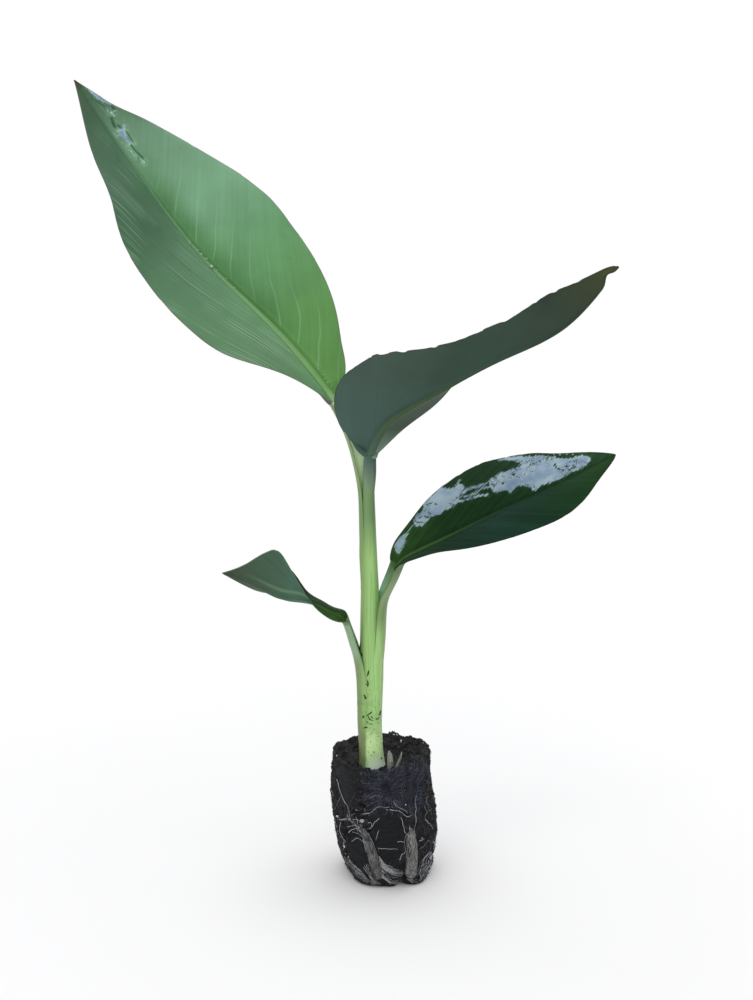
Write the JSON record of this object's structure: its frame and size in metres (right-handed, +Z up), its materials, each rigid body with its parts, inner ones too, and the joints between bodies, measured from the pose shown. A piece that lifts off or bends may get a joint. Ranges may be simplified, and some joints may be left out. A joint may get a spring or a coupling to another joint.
{
  "type": "banana plant",
  "caption": "Young banana plant: broad ribbed leaves on grooved stalks round a soft upright stem, standing on a bare, rounded root ball of moist peat.",
  "frame": {"origin": "on the root ball's flat underside, below the middle of the ball", "axes": "+Z up; +X towards the side where the two right-hand leaves reach; +Y towards the back, where the largest leaf leans"},
  "size_m": [0.2209, 0.1177, 0.3291],
  "materials": {
    "moist_peat": "matt, crumbly, with pale fine roots on it",
    "root_skin": "satin, soiled",
    "pale_shoot": "satin",
    "stem_skin": "smooth and waxy, finely streaked",
    "stalk_skin": "smooth and waxy, finely streaked",
    "leaf_face": "glossy above and waxy below, partly wet"
  },
  "bodies": {
    "root": {"root_ball": "moist_peat", "root_left": "root_skin", "root_right": "root_skin", "shoot_near": "pale_shoot", "shoot_far": "pale_shoot", "stem": "stem_skin", "stalk_1": "stalk_skin", "stalk_2": "stalk_skin", "stalk_3": "stalk_skin", "stalk_4": "stalk_skin", "blade_1": "leaf_face", "blade_2": "leaf_face", "blade_3": "leaf_face", "blade_4": "leaf_face"}
  },
  "joints": []
}
